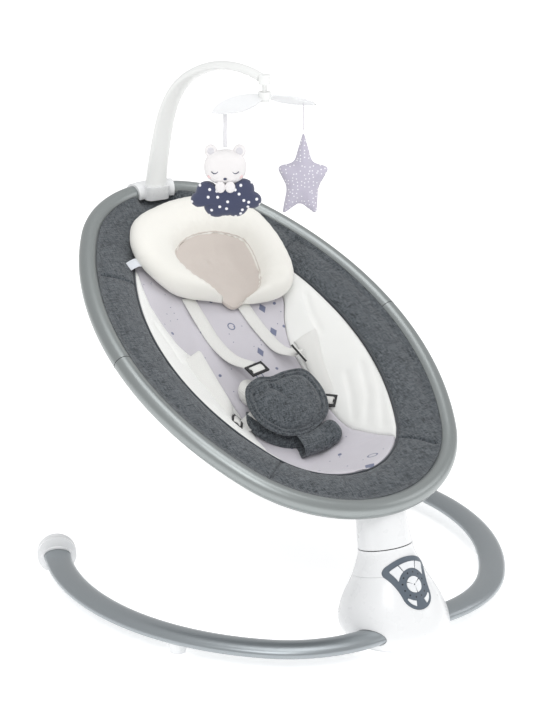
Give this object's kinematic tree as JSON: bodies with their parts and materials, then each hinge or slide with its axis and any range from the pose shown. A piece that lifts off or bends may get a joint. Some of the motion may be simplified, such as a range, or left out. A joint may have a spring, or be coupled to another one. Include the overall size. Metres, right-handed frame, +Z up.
{
  "type": "baby swing",
  "caption": "Reclined egg-shaped baby seat with a padded harness and a toy bar, swinging on a leaning motor post over a low curved floor stand.",
  "frame": {"origin": "on the floor, at the middle of the drive housing's flat underside", "axes": "+Z up, +Y from the drive housing towards the baby's head, +X to the right seen from the front; X = 0 is the seat's middle plane"},
  "size_m": [0.7392, 0.7864, 0.8135],
  "materials": {
    "rubber": "matte",
    "white_plastic": "gloss",
    "leg_paint": "satin",
    "steel": "brushed",
    "slate_plastic": "matte",
    "lamp_plastic": "gloss",
    "board": "satin",
    "black_plastic": "satin",
    "grey_plastic": "matte",
    "copper": "satin",
    "magnet": "satin",
    "button_plastic": "gloss",
    "ring_paint": "satin",
    "backing_fabric": "woven",
    "charcoal_fabric": "melange weave",
    "lilac_fabric": "soft cotton",
    "cream_fabric": "soft cotton",
    "pillow_fabric": "soft velour",
    "tag_fabric": "satin weave",
    "webbing": "woven webbing",
    "release_plastic": "gloss",
    "arm_plastic": "satin",
    "blade_plastic": "translucent",
    "ribbon": "satin ribbon",
    "bear_plush": "plush",
    "string": "twisted cord",
    "star_plush": "cotton print"
  },
  "bodies": {
    "base": {"floor_pad": "rubber", "base_plate": "white_plastic", "right_leg": "leg_paint", "left_leg": "leg_paint", "right_end_cap": "white_plastic", "left_end_cap": "white_plastic", "leg_feet": "white_plastic", "leg_spigot": "steel", "housing_shell": "white_plastic", "housing_collar": "white_plastic", "control_bezel": "slate_plastic", "indicator_lamps": "lamp_plastic", "circuit_board": "board", "speaker": "black_plastic", "dc_inlet": "black_plastic", "chassis": "grey_plastic", "housing_screws": "steel", "shaft_bearings": "steel", "coil_bobbin": "grey_plastic", "drive_coil": "copper"},
    "swing": {"swing_shaft": "steel", "drive_lever": "grey_plastic", "drive_magnet": "magnet", "post_shell": "white_plastic", "ring_saddle": "white_plastic", "frame_screws": "steel", "ring_lower": "ring_paint", "ring_upper": "ring_paint", "ring_sleeves": "grey_plastic", "seat_shell": "backing_fabric", "border_pad": "charcoal_fabric", "centre_pad": "lilac_fabric", "side_pads": "cream_fabric", "head_pillow": "pillow_fabric", "side_tag": "tag_fabric", "shoulder_straps": "webbing", "waist_straps": "webbing", "strap_adjusters": "black_plastic", "buckle_body": "black_plastic", "crotch_pad": "charcoal_fabric", "crotch_strap": "webbing", "crotch_sleeve": "charcoal_fabric", "bar_bracket": "white_plastic"},
    "toy_bar": {"toy_arm": "arm_plastic", "pin_retainer": "arm_plastic"},
    "spinner": {"spinner_hub": "arm_plastic", "spinner_blades": "blade_plastic"},
    "bear": {"bear_ribbon": "ribbon", "bear_toy": "bear_plush"},
    "star": {"star_string": "string", "star_toy": "star_plush"},
    "left_arch_button_body": {"left_arch_button": "button_plastic"},
    "middle_arch_button_body": {"middle_arch_button": "button_plastic"},
    "right_arch_button_body": {"right_arch_button": "button_plastic"},
    "upper_round_button_body": {"upper_round_button": "button_plastic"},
    "left_round_button_body": {"left_round_button": "button_plastic"},
    "right_round_button_body": {"right_round_button": "button_plastic"},
    "left_low_button_body": {"left_low_button": "button_plastic"},
    "right_low_button_body": {"right_low_button": "button_plastic"},
    "buckle_button": {"buckle_release": "release_plastic"}
  },
  "joints": [
    {"name": "swing_axis", "type": "hinge", "parent": "base", "child": "swing", "pos_m": [0, 0.0285, 0.1343], "axis": [0, 0.2571, 0.9664], "range_deg": [-15, 15]},
    {"name": "bar_slide", "type": "slide", "parent": "swing", "child": "toy_bar", "axis": [0, -0.1633, 0.9866], "range_m": [0, 0.04]},
    {"name": "spinner_turn", "type": "hinge", "parent": "toy_bar", "child": "spinner", "pos_m": [0, 0.345, 0.7725], "axis": [0, 0, 1], "continuous": true},
    {"name": "bear_swing", "type": "hinge", "parent": "spinner", "child": "bear", "pos_m": [-0.06456, 0.35872, 0.75516], "axis": [0.8192, -0.5736, 0], "range_deg": [-25, 25]},
    {"name": "star_swing", "type": "hinge", "parent": "spinner", "child": "star", "pos_m": [0.06456, 0.33128, 0.75516], "axis": [0.8192, -0.5736, 0], "range_deg": [-25, 25]},
    {"name": "left_arch_button_press", "type": "slide", "parent": "base", "child": "left_arch_button_body", "axis": [0, 0.809, -0.5878], "range_m": [0, 0.001], "stiffness_N_per_m": 500},
    {"name": "middle_arch_button_press", "type": "slide", "parent": "base", "child": "middle_arch_button_body", "axis": [0, 0.809, -0.5878], "range_m": [0, 0.001], "stiffness_N_per_m": 500},
    {"name": "right_arch_button_press", "type": "slide", "parent": "base", "child": "right_arch_button_body", "axis": [0, 0.809, -0.5878], "range_m": [0, 0.001], "stiffness_N_per_m": 500},
    {"name": "upper_round_button_press", "type": "slide", "parent": "base", "child": "upper_round_button_body", "axis": [0, 0.809, -0.5878], "range_m": [0, 0.001], "stiffness_N_per_m": 500},
    {"name": "left_round_button_press", "type": "slide", "parent": "base", "child": "left_round_button_body", "axis": [0, 0.809, -0.5878], "range_m": [0, 0.001], "stiffness_N_per_m": 500},
    {"name": "right_round_button_press", "type": "slide", "parent": "base", "child": "right_round_button_body", "axis": [0, 0.809, -0.5878], "range_m": [0, 0.001], "stiffness_N_per_m": 500},
    {"name": "left_low_button_press", "type": "slide", "parent": "base", "child": "left_low_button_body", "axis": [0, 0.809, -0.5878], "range_m": [0, 0.001], "stiffness_N_per_m": 500},
    {"name": "right_low_button_press", "type": "slide", "parent": "base", "child": "right_low_button_body", "axis": [0, 0.809, -0.5878], "range_m": [0, 0.001], "stiffness_N_per_m": 500},
    {"name": "buckle_press", "type": "slide", "parent": "swing", "child": "buckle_button", "axis": [0, 0.7408, -0.6717], "range_m": [0, 0.003], "stiffness_N_per_m": 400}
  ]
}
